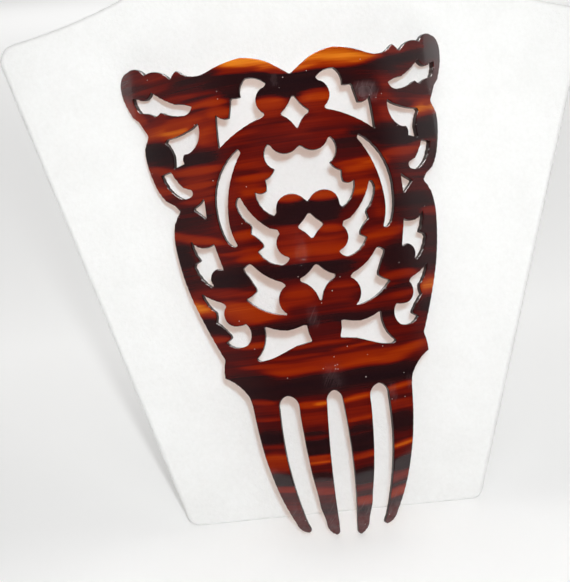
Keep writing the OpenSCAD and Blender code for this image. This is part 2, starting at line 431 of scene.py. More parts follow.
# Centripetal curve through the points of one run
def softRun(points, look):
    if len(points) < 3:
        return points
    first = 2 * points[0] - points[1]
    last = 2 * points[-1] - points[-2]
    p = np.vstack([first, points, last])
    out = []
    for i in range(1, len(p) - 2):
        knots = [0.0]
        for j in range(3):
            step = np.hypot(*(p[i + j] - p[i + j - 1]))
            knots.append(knots[-1] + math.sqrt(max(step, leastStep)))
        t0, t1, t2, t3 = knots
        steps = max(2, math.ceil(np.hypot(*(p[i + 1] - p[i])) / look["fine"]))
        t = np.linspace(t1, t2, steps, endpoint=False)[:, None]
        a1 = between(t, t0, t1, p[i - 1], p[i])
        a2 = between(t, t1, t2, p[i], p[i + 1])
        a3 = between(t, t2, t3, p[i + 1], p[i + 2])
        out.append(between(t, t1, t2, between(t, t0, t2, a1, a2), between(t, t1, t3, a2, a3)))
    out.append(points[-1:])
    return np.vstack(out)


# Distance from each place to the nearest rim, and the nearest point of the rim
def toRim(places, starts, ends):
    distance = np.empty(len(places))
    nearest = np.empty((len(places), 2))
    span = ends - starts
    square = np.maximum((span ** 2).sum(1), noSquare)
    for low in range(0, len(places), placesAtOnce):
        chunk = places[low:low + placesAtOnce]
        away = chunk[:, None, :] - starts[None]
        share = np.clip((away * span).sum(2) / square, 0, 1)
        gap = away - share[:, :, None] * span
        length = np.hypot(gap[:, :, 0], gap[:, :, 1])
        best = length.argmin(1)
        rows = np.arange(len(chunk))
        distance[low:low + placesAtOnce] = length[rows, best]
        nearest[low:low + placesAtOnce] = chunk - gap[rows, best]
    return distance, nearest


def insideRims(places, starts, ends):
    inside = np.zeros(len(places), bool)
    rise = ends[:, 1] - starts[:, 1]
    rise = np.where(np.abs(rise) < noSquare, noSquare, rise)
    for low in range(0, len(places), placesAtOnce):
        chunk = places[low:low + placesAtOnce]
        x, y = chunk[:, :1], chunk[:, 1:]
        crosses = (starts[:, 1] > y) != (ends[:, 1] > y)
        at = starts[:, 0] + (y - starts[:, 1]) * (ends[:, 0] - starts[:, 0]) / rise
        inside[low:low + placesAtOnce] = (crosses & (x < at)).sum(1) % 2 == 1
    return inside


# The rims themselves, rings of places behind them, and a grid over the rest of the sheet
def sheetPlaces(rims, starts, ends, look):
    places = [starts]
    for rim in rims:
        along = np.roll(rim, -1, 0) - np.roll(rim, 1, 0)
        along /= np.maximum(np.hypot(*along.T), noLength)[:, None]
        inward = np.stack([-along[:, 1], along[:, 0]], 1)
        for angle in look["rimSteps"]:
            offset = look["rim"] * (1 - math.cos(math.radians(angle)))
            ring = rim + inward * offset
            far, _ = toRim(ring, starts, ends)
            places.append(ring[far > offset * ringShare])
    low, high = starts.min(0), starts.max(0)
    pitch, rowPitch = look["inner"]
    rows = np.arange(low[1] + rowPitch / 2, high[1], rowPitch)
    grid = np.array([(x, y) for y in rows for x in np.arange(low[0], high[0], pitch)])
    grid = grid[insideRims(grid, starts, ends)]
    far, _ = toRim(grid, starts, ends)
    places.append(grid[far > look["rim"] + rowPitch * rowClearance])
    return np.vstack(places)


# Triangles between the places, inside the rims, all turned the same way
def triangulated(places, rims, starts, ends):
    edges = []
    base = 0
    for rim in rims:
        edges += [(base + i, base + (i + 1) % len(rim)) for i in range(len(rim))]
        base += len(rim)
    corners = [Vector(p) for p in places]
    flat, _, triangles, *_ = delaunay_2d_cdt(corners, edges, [], 0, mergeWithin)
    flat = np.array([p[:] for p in flat])
    triangles = np.array(triangles)
    a, b, c = (flat[triangles[:, k]] for k in range(3))
    area = (b[:, 0] - a[:, 0]) * (c[:, 1] - a[:, 1]) - (b[:, 1] - a[:, 1]) * (c[:, 0] - a[:, 0])
    triangles[area < 0] = triangles[area < 0][:, ::-1]
    kept = (np.abs(area) > noArea) & insideRims((a + b + c) / 3, starts, ends)
    return flat, triangles[kept]


def rimEdges(triangles):
    sides = np.vstack([triangles[:, pair] for pair in ((0, 1), (1, 2), (2, 0))])
    directed = set(map(tuple, sides))
    return sorted((p, q) for p, q in directed if (q, p) not in directed)


def madeUnitLong(vectors):
    size = np.hypot(*vectors.T)
    vectors[size > 0] /= size[size > 0][:, None]
    return vectors


# The way out of the sheet at each place: to the nearest rim, and on a rim square to it
def waysOut(flat, nearest, onRim, wall):
    outward = nearest - flat
    outward[onRim] = 0
    outward = madeUnitLong(outward)
    square = np.zeros_like(flat)
    for p, q in wall:
        along = flat[q] - flat[p]
        side = np.array([along[1], -along[0]]) / max(np.hypot(*along), noLength)
        square[p] += side
        square[q] += side
    outward[onRim] = madeUnitLong(square)[onRim]
    return outward


# The sheet as a closed mesh. Depth and normal follow a quarter circle from the flat face to
# the wall.
def cutSheet(name, loops, look):
    rims = [smoothedLoop(loop, look) for loop in loops]
    starts = np.vstack(rims)
    ends = np.vstack([np.roll(r, -1, 0) for r in rims])
    places = sheetPlaces(rims, starts, ends, look)
    flat, triangles = triangulated(places, rims, starts, ends)
    wall = rimEdges(triangles)
    far, nearest = toRim(flat, starts, ends)
    onRim = far < onTheRim
    outward = waysOut(flat, nearest, onRim, wall)
    share = np.clip(1 - far / look["rim"], 0, 1)
    share[onRim] = 1
    lift = np.sqrt(np.maximum(1 - share ** 2, 0))
    depth = look["rim"] * (1 - lift)
    front = np.stack([flat[:, 0], depth, flat[:, 1]], 1)
    back = np.stack([flat[:, 0], look["thickness"] - depth, flat[:, 1]], 1)
    frontNormal = np.stack([outward[:, 0] * share, -lift, outward[:, 1] * share], 1)
    backNormal = frontNormal * (1, -1, 1)
    count = len(flat)
    faces = triangles.tolist()
    faces += (triangles[:, ::-1] + count).tolist()
    faces += [(q, p, p + count, q + count) for p, q in wall]
    mesh = bpy.data.meshes.new(name)
    mesh.from_pydata((np.vstack([front, back]) * mm).tolist(), [], faces)
    attribute = mesh.attributes.new("flatNormal", "FLOAT_VECTOR", "POINT")
    attribute.data.foreach_set("vector", np.vstack([frontNormal, backNormal]).ravel())
    attribute = mesh.attributes.new("rim", "FLOAT", "POINT")
    attribute.data.foreach_set("value", np.concatenate([share, share]))
    mesh.polygons.foreach_set("use_smooth", [True] * len(mesh.polygons))
    print(name, "cut:", len(rims), "rims,", count, "flat places,", len(faces), "faces")
    return mesh


# What a mesh holds per vertex, as rows of three
def vertexRows(mesh, attributeName=None):
    rows = np.empty(len(mesh.vertices) * 3)
    if attributeName:
        mesh.attributes[attributeName].data.foreach_get("vector", rows)
    else:
        mesh.vertices.foreach_get("co", rows)
    return rows.reshape(-1, 3)


def addPiece(name, mesh, material, node):
    piece = bpy.data.objects.new(name, mesh)
    bpy.context.scene.collection.objects.link(piece)
    mesh.materials.clear()
    mesh.materials.append(material)
    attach(piece, "root")
    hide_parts(node)
    print(name, "in place:", len(mesh.polygons), "faces")


# The inputs of the comb's bend, as in the CAD: millimetres and degrees
combShape = {
    "bendRadius": 81.0,
    "curlRadius": 108.0,
    "curlFrom": 63.0,
    "lean": 20.0,
    "tipOver": 3.0,
    "aside": 2.5,
    "back": -87.640,      # the leant comb is moved forward and up on to the table
    "up": 3.3823,
}
combAngles = ("lean", "tipOver")

# A look says how a sheet is cut: the radius of its rounded rims and the degrees of the
# steps round them, the turn that makes a sharp corner and the fillet there, the spacing of
# the rim's points and of the curve they are taken from, and the grid between the rims
combLook = {
    "thickness": 2.2,
    "rim": 0.42,
    "rimSteps": (30, 60, 90),
    "merge": 0.06,
    "corner": 27.0,
    "fillet": 0.3,
    "filletSteps": (0.25, 0.5, 0.75),
    "spacing": 0.7,
    "fine": 0.15,
    "straight": 25.0,
    "nearEnd": 1.0,
    "inner": (1.3, 0.55),     # across and up
}


def turnedAbout(axis, degrees):
    return np.array(Matrix.Rotation(math.radians(degrees), 3, axis))


def unbendComb(places):
    shape = combShape
    p = places - (0, shape["back"], shape["up"])
    p = p @ turnedAbout("X", -shape["lean"]) - (shape["aside"], 0, 0)
    p = p @ turnedAbout("Y", -shape["tipOver"])
    x, y, z = p.T
    radius, curlRadius, curlFrom = shape["bendRadius"], shape["curlRadius"], shape["curlFrom"]
    below = z < curlFrom
    curl = np.where(below, np.arctan2(curlFrom - z, curlRadius - y), 0)
    sink = np.where(below, curlRadius - np.hypot(curlRadius - y, curlFrom - z), y)
    turn = np.arctan2(x, radius - sink)
    depth = radius - np.hypot(x, radius - sink)
    up = np.where(below, curlFrom - curlRadius * curl, z)
    return np.stack([radius * turn, depth, up], 1)


# The bend as a modifier: round the bend radius across, and back round the curl radius below
def bendTree(names):
    tree = bpy.data.node_groups.new("bendComb", "GeometryNodeTree")
    tree.is_modifier = True
    inputs = {"Geometry": "Geometry", **{name: "Float" for name in names}, "Material": "Material"}
    for name, kind in inputs.items():
        tree.interface.new_socket(name, in_out="INPUT", socket_type="NodeSocket" + kind)
    tree.interface.new_socket("Geometry", in_out="OUTPUT", socket_type="NodeSocketGeometry")
    given = tree.nodes.new("NodeGroupInput").outputs
    across, depth, up = axes(tree, put(tree, "GeometryNodeInputPosition"))
    turn = calc(tree, "DIVIDE", across, given["bendRadius"])
    drop = calc(tree, "MAXIMUM", calc(tree, "SUBTRACT", given["curlFrom"], up), 0.0)
    curl = calc(tree, "DIVIDE", drop, given["curlRadius"])
    cosTurn, sinTurn = calc(tree, "COSINE", turn), calc(tree, "SINE", turn)
    cosCurl, sinCurl = calc(tree, "COSINE", curl), calc(tree, "SINE", curl)
    inner = calc(tree, "SUBTRACT", given["bendRadius"], depth)
    sink = calc(tree, "SUBTRACT", given["bendRadius"], calc(tree, "MULTIPLY", inner, cosTurn))
    # the walls of the cuts run level, so they slide down the sheet with its curl
    slide = calc(tree, "MULTIPLY", calc(tree, "MULTIPLY", depth, cosTurn),
                 calc(tree, "DIVIDE", sinCurl, cosCurl))
    lineY = calc(tree, "MULTIPLY", given["curlRadius"], calc(tree, "SUBTRACT", 1.0, cosCurl))
    lineZ = calc(tree, "SUBTRACT", calc(tree, "MAXIMUM", up, given["curlFrom"]),
                 calc(tree, "MULTIPLY", given["curlRadius"], sinCurl))
    x = calc(tree, "MULTIPLY", inner, sinTurn)
    y = calc(tree, "ADD", lineY, calc(tree, "ADD", calc(tree, "MULTIPLY", sink, cosCurl),
                                      calc(tree, "MULTIPLY", slide, sinCurl)))
    z = calc(tree, "ADD", lineZ, calc(tree, "SUBTRACT", calc(tree, "MULTIPLY", sink, sinCurl),
                                      calc(tree, "MULTIPLY", slide, cosCurl)))
    bent = put(tree, "ShaderNodeCombineXYZ", {"X": x, "Y": y, "Z": z})

    def turned(vector, axis, angle):
        return put(tree, "ShaderNodeVectorRotate", {"Vector": vector, "Angle": angle},
                   rotation_type=axis)

    tipBack = calc(tree, "MULTIPLY", given["tipOver"], -1.0)
    leanBack = calc(tree, "MULTIPLY", given["lean"], -1.0)
    tipped = turned(bent, "Y_AXIS", tipBack)
    aside = put(tree, "ShaderNodeCombineXYZ", {"X": given["aside"]})
    stepped = put(tree, "ShaderNodeVectorMath", {0: tipped, 1: aside}, operation="ADD")
    leant = turned(stepped, "X_AXIS", leanBack)
    shift = put(tree, "ShaderNodeCombineXYZ", {"Y": given["back"], "Z": given["up"]})
    placed = put(tree, "ShaderNodeVectorMath", {0: leant, 1: shift}, operation="ADD")

    flatNormal = put(tree, "GeometryNodeInputNamedAttribute", {"Name": "flatNormal"},
                     data_type="FLOAT_VECTOR")
    normal = turned(turned(flatNormal, "Z_AXIS", turn), "X_AXIS", curl)
    normal = turned(turned(normal, "Y_AXIS", tipBack), "X_AXIS", leanBack)
    stored = put(tree, "GeometryNodeStoreNamedAttribute",
                 {"Geometry": given["Geometry"], "Name": "bentNormal", "Value": normal},
                 data_type="FLOAT_VECTOR", domain="POINT")
    moved = put(tree, "GeometryNodeSetPosition", {"Geometry": stored, "Position": placed})
    real = put(tree, "GeometryNodeRealizeInstances", {"Geometry": moved})
    dressed = put(tree, "GeometryNodeSetMaterial",
                  {"Geometry": real, "Material": given["Material"]})
    out = tree.nodes.new("NodeGroupOutput")
    tree.links.new(dressed, out.inputs[0])
    return tree


def bentMesh(flatMesh, material):
    holder = bpy.data.objects.new("combFlat", flatMesh)
    bpy.context.scene.collection.objects.link(holder)
    values = {name: math.radians(value) if name in combAngles else value * mm
              for name, value in combShape.items()}
    tree = bendTree(values)
    values["Material"] = material
    modifier = holder.modifiers.new("bend", "NODES")
    modifier.node_group = tree
    for item in tree.interface.items_tree:
        if item.in_out == "INPUT" and item.name in values:
            modifier[item.identifier] = values[item.name]
    graph = bpy.context.evaluated_depsgraph_get()
    mesh = bpy.data.meshes.new_from_object(
        holder.evaluated_get(graph), preserve_all_data_layers=True, depsgraph=graph)
    holder.modifiers.remove(modifier)
    bpy.data.objects.remove(holder)
    return mesh


# The tortoiseshell's large streaks, charted. Columns: across, up, half length and
# half height in millimetres, rise in millimetres per ten across, and tone from 0, black,
# over 0.3 deep red, 0.5 red and 0.7 orange to 1, amber. Later rows lie over earlier ones.
streaks = [
    # left wing
    (-62, 188, 18, 9, -1.5, 0.33),
    (-66, 187.5, 9, 1.3, -0.8, 0.22),
    (-58, 190, 9, 1.4, -1.2, 0.42),
    (-67, 176, 7, 4.0, -9.0, 0.60),
    (-50, 183.5, 14, 3.2, 0, 0.22),
    (-53, 184.6, 12, 1.1, -0.7, 0.44),
    (-34, 182, 14, 4.5, 0.4, 0.17),
    (-36, 187.6, 8, 1.0, 0, 0.28),
    (-47, 178.5, 9, 1.6, -0.3, 0.40),
    # crown
    (-10, 178.3, 18, 5.6, 0.2, 0.03),
    (-27, 178, 8, 3.5, 0, 0.09),
    (10, 177.5, 18, 4.6, 0, 0.03),
    (-15.5, 187.2, 13, 2.6, -0.8, 0.97),
    (-9, 184.3, 7, 1.6, -2.5, 0.90),
    (-20, 184.4, 8, 0.8, 0.1, 0.52),
    (-5, 181.9, 4, 0.8, -2, 0.46),
    (20, 181.6, 16, 0.9, 0.1, 0.42),
    (15, 185.3, 18, 3.3, -0.2, 0.95),
    (15, 188.4, 12, 0.9, 0, 0.87),
    (32, 183.6, 9, 1.6, -0.3, 0.91),
    (6, 182.6, 6, 1.3, 1.5, 0.86),
    # right wing
    (28, 178.5, 12, 2.6, 0.8, 0.12),
    (34, 178.5, 10, 2.6, 1.0, 0.17),
    (38, 172.5, 7, 4.5, 0, 0.42),
    (29, 173, 6, 3.4, 0, 0.16),
    (48, 184.3, 18, 2.0, 1.6, 0.07),
    (45, 187.8, 6, 1.4, 0.5, 0.48),
    (57, 189.5, 12, 1.8, 1.2, 0.38),
    (66, 193, 8, 1.4, 0.5, 0.28),
    (70, 188.5, 6, 3.5, 0, 0.15),
    (62, 185.5, 6, 1.6, 1.0, 0.10),
    (52, 172, 12, 3.5, 0.8, 0.22),
    (60, 177, 8, 3, 2, 0.20),
    (56, 168.3, 8, 1.3, 0.6, 0.36),
    # left shoulder
    (-36, 174.5, 9, 3.6, 0, 0.50),
    (-36, 176.8, 8, 0.8, -0.2, 0.18),
    (-33, 173.8, 8, 1.1, 0.1, 0.72),
    (-28.5, 169.8, 5, 1.9, 0, 0.66),
    (-52, 169, 14, 3.6, -0.4, 0.64),
    (-53, 166.4, 13, 2.6, -0.1, 0.84),
    (-44, 168.8, 8, 1.1, 0.6, 0.66),
    (-58, 172, 7, 1.0, -0.4, 0.40),
    (-42, 172.6, 9, 0.8, 0, 0.28),
    (-36, 163.5, 6, 4.6, 0, 0.60),
    (-34, 161.8, 4.5, 2.6, 0, 0.90),
    (-36, 166.6, 5, 0.9, 0, 0.44),
    (-58, 160.4, 12, 4.5, -1.6, 0.04),
    (-40, 155.3, 10, 2.8, 0, 0.07),
    (-60, 153.4, 9, 1.6, -1.4, 0.60),
    (-62, 147.5, 8, 4.5, -3, 0.40),
    (-59, 145.8, 6, 1.2, -2.5, 0.60),
    (-41, 150.4, 10, 1.6, -0.5, 0.64),
    (-42, 147.4, 9, 1.0, 0, 0.46),
    (-42, 144.8, 8, 1.2, 0.1, 0.63),
    (-40, 141.8, 8, 1.2, 0.1, 0.46),
    (-42, 139.3, 8, 0.9, 0, 0.52),
    (-46, 136, 9, 1.4, 0, 0.24),
    # arch over the middle window, and the lobes on it
    (0, 160, 34, 6.5, 0, 0.37),
    (-23, 160.3, 8, 0.9, 0.8, 0.47),
    (-2, 164, 9, 0.8, 0, 0.30),
    (-12, 158, 9, 1.0, 0.2, 0.31),
    (14, 158.5, 10, 1.6, 0, 0.28),
    (4, 162.2, 10, 0.8, 0.1, 0.43),
    (2, 155, 11, 1.4, 0, 0.33),
    (-24, 154.2, 6, 1.8, 0.3, 0.28),
    (25, 156, 6, 2.0, -0.3, 0.12),
    (-9.5, 170.4, 6.5, 2.3, 0, 0.64),
    (-9, 171.6, 5, 0.8, 0, 0.74),
    (-9, 167, 5, 1.3, 0, 0.50),
    (9, 170.6, 6.5, 1.9, 0, 0.80),
    (8, 167.5, 6, 1.5, 0, 0.46),
    (9, 172.8, 6, 0.6, 0, 0.45),
    # right shoulder
    (59, 164.6, 9, 2.9, 0.8, 1.0),
    (62, 166.9, 5, 0.8, 1.0, 0.70),
    (58, 157.3, 10, 4.6, 0.9, 0.05),
    (38, 163.5, 4.5, 3.6, 0, 0.50),
    (36, 167.5, 6, 1.6, 0.3, 0.36),
    (40, 154.5, 15, 4.2, -0.5, 0.06),
    (44, 148.5, 12, 1.5, 1.4, 0.60),
    (52, 151.4, 6, 0.9, 1.0, 0.40),
    (58, 147, 8, 3.5, 1, 0.16),
    (60, 152, 5, 1.0, 0.8, 0.30),
    (48, 142.5, 12, 2.6, 0.3, 0.22),
    (42, 145.0, 8, 0.9, 1.0, 0.34),
    # ring beside the middle window
    (-20, 147.6, 8, 6.5, 0, 0.39),
    (-19, 148.3, 6, 0.9, 0, 0.52),
    (-18, 143.8, 7, 1.2, 0, 0.64),
    (-22, 145.9, 6, 0.7, 0, 0.28),
    (-24, 140.5, 7, 1.4, 0, 0.46),
    (-20, 138.6, 7, 1.2, 0, 0.64),
    (-28, 137, 4, 4, 0, 0.42),
    (-28, 128, 4, 4, 0, 0.24),
    (18, 152.2, 8, 2.4, 0, 0.13),
    (18, 147.8, 10, 1.5, 0.2, 0.24),
    (24, 143.6, 9, 2.0, 0.8, 0.76),
    (24, 145.6, 8, 0.6, 0.6, 0.62),
    (17, 144.6, 5, 0.8, 0.3, 0.52),
    (22, 140.6, 8, 0.9, 0.6, 0.40),
    (20, 135.8, 9, 2.4, 0.2, 0.62),
    (22, 134.0, 7, 1.0, 0.3, 0.80),
    (27, 130.2, 5, 2.2, 0.2, 0.34),
    (27, 126, 5, 2.4, 0, 0.46),
    # left side
    (-48, 132, 12, 4.6, 0, 0.14),
    (-44, 134.6, 10, 0.8, 0, 0.24),
    (-47, 125.2, 13, 1.6, -2.2, 0.62),
    (-41, 123.4, 7, 0.9, -2.0, 0.68),
    (-53, 118, 6, 5, 0, 0.09),
    (-41, 119.6, 8, 1.2, -0.5, 0.25),
    (-52, 108, 7, 5, 0, 0.18),
    (-50, 103.8, 6, 1.2, -0.6, 0.35),
    (-47, 97.6, 6, 3.0, -3.5, 0.92),
    (-42, 91, 7, 3.5, -2.5, 0.08),
    (-41, 85.4, 6, 1.4, -1, 0.62),
    (-31, 115.8, 11, 4.2, -0.5, 0.35),
    (-27, 117.4, 9, 1.0, -0.8, 0.52),
    (-23, 114.4, 6, 1.6, -0.4, 0.64),
    (-25, 123.6, 6, 1.7, -0.6, 0.64),
    (-34, 118.9, 7, 0.7, -0.5, 0.24),
    (-32, 108.6, 11, 4.4, 0, 0.06),
    (-40, 103.8, 10, 1.6, -0.8, 0.37),
    (-32, 102.2, 9, 1.0, -0.4, 0.47),
    (-17, 108.6, 8, 3.2, 0, 0.10),
    (-26, 95, 13, 4.6, -0.8, 0.64),
    (-30, 96.4, 8, 2.2, -0.8, 0.76),
    (-22, 92.6, 9, 1.5, -1.0, 0.72),
    (-27, 99.8, 9, 1.0, -0.6, 0.30),
    (-24, 88.9, 12, 1.0, -0.3, 0.22),
    (-14, 90.3, 9, 0.8, -0.2, 0.40),
    # petals
    (0, 130, 15, 4.2, 0, 0.05),
    (-7, 134.6, 5.5, 1.5, 0, 0.68),
    (6.5, 134.3, 6, 1.7, 0, 0.74),
    (0, 126.6, 20, 1.6, 0, 0.06),
    (-8, 122.4, 6.5, 1.5, 0, 0.46),
    (7.5, 121.8, 5.5, 1.3, 0, 0.64),
    (-2, 118.8, 14, 1.2, 0, 0.50),
    (0, 114.3, 16, 3.0, 0, 0.56),
    (2, 113.6, 14, 1.4, 0.1, 0.66),
    (-4, 117.0, 9, 0.7, 0.2, 0.40),
    (8, 119.4, 7, 0.7, 0.1, 0.40),
    (0, 107.0, 14, 3.4, 0, 0.04),
    (0, 110.6, 13, 0.7, 0, 0.42),
    (-8, 98, 6.5, 3.8, 0, 0.47),
    (-8, 98.6, 5.5, 1.0, 0, 0.60),
    (8, 98, 6.5, 3.8, 0, 0.37),
    (9, 99.6, 5, 0.9, 0, 0.46),
    (0, 92, 14, 2.6, 0, 0.28),
    (4, 94.2, 10, 0.7, 0.1, 0.40),
    # right side
    (18, 125, 7, 4, 0.4, 0.30),
    (27, 117.0, 10, 1.9, 1.4, 0.64),
    (25, 119.6, 9, 0.7, 1.2, 0.44),
    (22, 114.8, 9, 0.8, 1.0, 0.42),
    (35, 108, 10, 4.6, 0, 0.06),
    (44, 127, 12, 5.0, 0, 0.12),
    (53, 124.6, 6, 1.6, 0.8, 0.46),
    (50, 114, 7, 7, 0, 0.16),
    (33, 101.2, 10, 1.4, 0.5, 0.52),
    (46, 104.5, 7, 3, 0.5, 0.10),
    (27, 95.4, 13, 3.2, 0.3, 0.18),
    (31, 93.9, 9, 1.2, 0.6, 0.52),
    (22, 97.8, 9, 0.8, 0.3, 0.36),
    (20, 93.2, 8, 0.8, 0.3, 0.38),
    (46, 95.4, 5.5, 2.8, 0.6, 0.91),
    (46, 88, 7, 3, 0, 0.12),
    # root of the teeth
    (0, 87.6, 34, 2.0, 0, 0.10),
    (-30, 82.5, 12, 2.6, 0, 0.30),
    (-27, 82.2, 6, 1.0, -0.2, 0.66),
    (-36, 76, 12, 4, 0, 0.22),
    (-28, 76.4, 12, 0.9, 0, 0.32),
    (0, 84, 6, 3, 0, 0.26),
    (0, 78, 24, 3.2, 0, 0.27),
    (-14, 76.4, 12, 0.7, -0.5, 0.44),
    (-3, 79.5, 13, 0.7, -0.2, 0.50),
    (34, 81, 10, 4, 0, 0.31),
    (14, 77.0, 12, 0.7, 0.6, 0.54),
    (8, 72.2, 32, 2.2, 0.3, 0.56),
    (13, 69.8, 15, 1.7, 0.3, 0.86),
    (30, 73.0, 10, 1.5, 1.8, 0.76),
    (-20, 73.6, 13, 0.9, -0.5, 0.52),
    (-12, 70.8, 12, 1.2, -0.5, 0.72),
    (0, 65, 46, 3.8, 0, 0.04),
    (-32, 68, 12, 3.2, 0, 0.10),
    # teeth
    (0, 54, 36, 5, 0, 0.36),
    (-27, 60.4, 5, 1.0, -0.6, 0.52),
    (-9, 58.0, 6, 1.2, -0.2, 0.66),
    (-5, 58.1, 3, 0.8, 0, 0.85),
    (8.5, 57.8, 7, 0.9, 0.8, 0.78),
    (26, 59.6, 7, 1.0, 1.1, 0.78),
    (-26, 51.4, 6, 3.4, 0, 0.24),
    (-26, 53.6, 6, 0.8, 0, 0.44),
    (-9, 52.6, 6, 1.6, 0, 0.46),
    (8.5, 52.0, 6, 2.6, 0, 0.42),
    (8.5, 49.8, 6, 0.7, 0.4, 0.66),
    (25, 52.4, 6, 1.8, 0, 0.47),
    (25, 55.4, 6, 0.9, 0, 0.28),
    (-25, 46.4, 6, 3.0, 0, 0.07),
    (-25, 42.2, 6, 0.8, 0, 0.44),
    (-25, 40.4, 6, 0.9, 0, 0.14),
    (-24.5, 35.6, 6, 4.2, 0, 0.58),
    (-25, 38.0, 6, 0.9, 0, 0.79),
    (-23, 28.4, 6, 2.8, 0, 0.06),
    (-22, 24.2, 6, 1.3, 0, 0.48),
    (-21.5, 21.4, 6, 1.0, 0, 0.20),
    (-20.5, 17.4, 6, 1.6, 0, 0.30),
    (-9, 43, 6, 4.8, 0, 0.05),
    (-9, 45.6, 6, 0.9, 0, 0.34),
    (-9, 37.4, 6, 0.9, 0, 0.66),
    (-9, 35.3, 6, 0.8, 0.4, 0.84),
    (-8.5, 29.2, 6, 1.8, 0, 0.10),
    (-8.3, 26, 6, 1.0, 0, 0.26),
    (-8, 23.0, 6, 1.3, 0, 0.48),
    (-8, 19.8, 6, 1.2, 0, 0.30),
    (-7.5, 15, 6, 2.6, 0, 0.14),
    (8.5, 42.5, 6, 4.9, 0, 0.05),
    (8.5, 44.6, 6, 0.8, 0, 0.17),
    (8.2, 35.4, 6, 1.3, 0.2, 0.60),
    (10, 35.0, 4, 0.6, 0.4, 0.74),
    (8, 32.8, 6, 1.6, 0, 0.30),
    (7.8, 27.2, 6, 3.2, 0, 0.05),
    (7.6, 22.6, 6, 0.9, 0, 0.33),
    (7.2, 19.6, 6, 1.4, 0, 0.20),
    (7, 16.4, 6, 1.7, -0.5, 0.64),
    (6.5, 12, 6, 2.2, 0, 0.10),
    (25, 45.4, 6, 4.2, 0, 0.10),
    (25, 39.6, 6, 1.4, 0, 0.26),
    (25, 36.5, 6, 1.1, 1.2, 0.84),
    (24.5, 33.2, 6, 1.6, 0, 0.30),
    (24, 28.4, 6, 2.6, 0, 0.05),
    (23, 23.2, 6, 1.3, 0, 0.42),
    (22, 19.8, 6, 1.2, 0, 0.18),
    (21, 16.2, 6, 1.8, 0, 0.68),
    (19.5, 12, 6, 2, 0, 0.14),
    (0, 6, 40, 3.6, 0, 0.30),
]
ground = 0.30    # the tone between the streaks

# How a streak is drawn: it wavers by millimetres, at radians per millimetre across and up,
# and it thins towards its ends
streakShape = {
    "wavers": ((0.30, 0.13, 0.05), (0.16, 0.31, -0.17)),
    "reach": 1.1,
    "middleHeight": 1.2,
    "thinning": 0.6,
    "endPower": 6,
    "edgePower": 3.4,
}

# Worn and dusty places, and in the first row a painted reflection of the table on the teeth
# tips: across, up, half length, half height, how much
wornAndReflectionPlaces = [
    (0, -2, 60, 18, 1.0),
    (28.5, 171.2, 4.6, 3.4, 1.5),
    (-6, 178.8, 1.6, 2.2, 0.35),
    (0.5, 67, 3.5, 4.5, 0.35),
    (-4, 90, 2, 4.0, 0.3),
    (22.5, 58, 1.4, 3.5, 0.5),
    (30.5, 60, 1.0, 3.0, 0.6),
]

# Specks of dust: the same columns, and the share of the small cells that hold one
dustPlaces = [
    (0.5, 67.5, 3.4, 5.0, 0.16),
    (1, 74, 8, 4, 0.02),
    (29, 61, 3, 4, 0.03),
    (-6, 178, 2.5, 3, 0.03),
    (55, 146, 5, 6, 0.02),
    (0, 4, 60, 14, 0.006),
]
placePower = 4


def chartedTone(across, up):
    shape = streakShape
    tone = np.full(len(across), ground)
    wave = sum(by * np.sin(across * perAcross + up * perUp)
               for by, perAcross, perUp in shape["wavers"])
    for middle, height, reach, half, rise, value in streaks:
        away = (across - middle) / (reach * shape["reach"])
        lens = half * (shape["middleHeight"] - shape["thinning"] * np.clip(away ** 2, 0, 1))
        over = (up + wave - height - rise * (across - middle) / 10) / lens
        fade = np.exp(-away ** shape["endPower"])
        tone += (value - tone) * fade * np.exp(-np.abs(over) ** shape["edgePower"])
    return tone


def chartedPlaces(across, up, rows):
    amount = np.zeros(len(across))
    for middle, height, reach, half, value in rows:
        near = ((across - middle) / reach) ** placePower + ((up - height) / half) ** placePower
        amount = np.maximum(amount, value * np.exp(-near))
    return amount


shellColours = [
    (0.00, (0.0110, 0.0040, 0.0050)),
    (0.12, (0.0190, 0.0048, 0.0052)),
    (0.28, (0.0580, 0.0040, 0.0034)),
    (0.38, (0.1080, 0.0056, 0.0028)),
    (0.50, (0.1640, 0.0100, 0.0024)),
    (0.62, (0.2080, 0.0150, 0.0018)),
    (0.75, (0.2500, 0.0220, 0.0018)),
    (0.83, (0.3300, 0.0430, 0.0026)),
    (0.91, (0.4500, 0.0900, 0.0042)),
    (1.00, (0.6000, 0.1700, 0.0110)),
]

